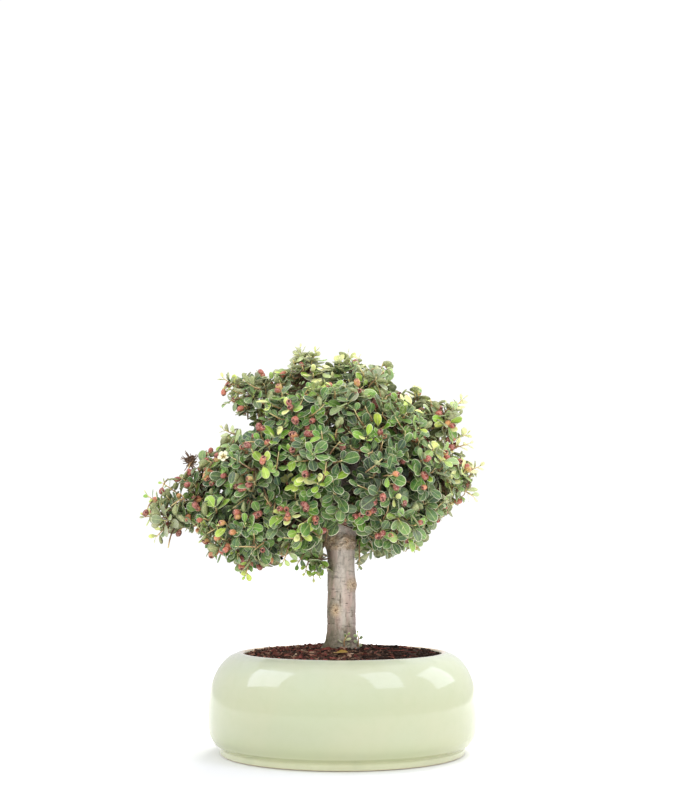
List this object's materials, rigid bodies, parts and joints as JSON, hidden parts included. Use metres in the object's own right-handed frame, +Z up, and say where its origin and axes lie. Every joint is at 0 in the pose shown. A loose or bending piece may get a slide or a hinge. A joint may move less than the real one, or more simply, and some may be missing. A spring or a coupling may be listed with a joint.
{
  "type": "cotoneaster bonsai",
  "caption": "Small-leaved cotoneaster bonsai with a straight trunk, a broad crown of leafy sprays and red berries, in a squat round glazed bowl filled with soil.",
  "frame": {"origin": "middle of the bowl's flat underside, on the bowl's axis", "axes": "+Z up along the bowl's axis; -Y towards the side that is looked at; +X to the right from there, so the long bough points to -X"},
  "size_m": [0.2644, 0.21, 0.3141],
  "materials": {
    "pot": "gloss",
    "soil": "matte",
    "bark": "matte",
    "foliage": "satin",
    "berry": "satin",
    "dead_leaf": "matte"
  },
  "bodies": {
    "root": {"pot": "pot", "soil": "soil", "trunk_and_branches": "bark", "spray_01": "foliage", "spray_02": "foliage", "spray_03": "foliage", "spray_04": "foliage", "spray_05": "foliage", "spray_06": "foliage", "spray_07": "foliage", "spray_08": "foliage", "spray_09": "foliage", "spray_10": "foliage", "spray_11": "foliage", "spray_12": "foliage", "spray_13": "foliage", "spray_14": "foliage", "spray_15": "foliage", "spray_16": "foliage", "spray_17": "foliage", "spray_18": "foliage", "spray_19": "foliage", "spray_20": "foliage", "spray_21": "foliage", "spray_22": "foliage", "spray_23": "foliage", "spray_24": "foliage", "spray_25": "foliage", "spray_26": "foliage", "spray_27": "foliage", "spray_28": "foliage", "spray_29": "foliage", "spray_30": "foliage", "spray_31": "foliage", "spray_32": "foliage", "spray_33": "foliage", "spray_34": "foliage", "spray_35": "foliage", "spray_36": "foliage", "spray_37": "foliage", "spray_38": "foliage", "spray_39": "foliage", "spray_40": "foliage", "spray_41": "foliage", "spray_42": "foliage", "spray_43": "foliage", "fallen_leaf": "dead_leaf"}
  },
  "joints": []
}
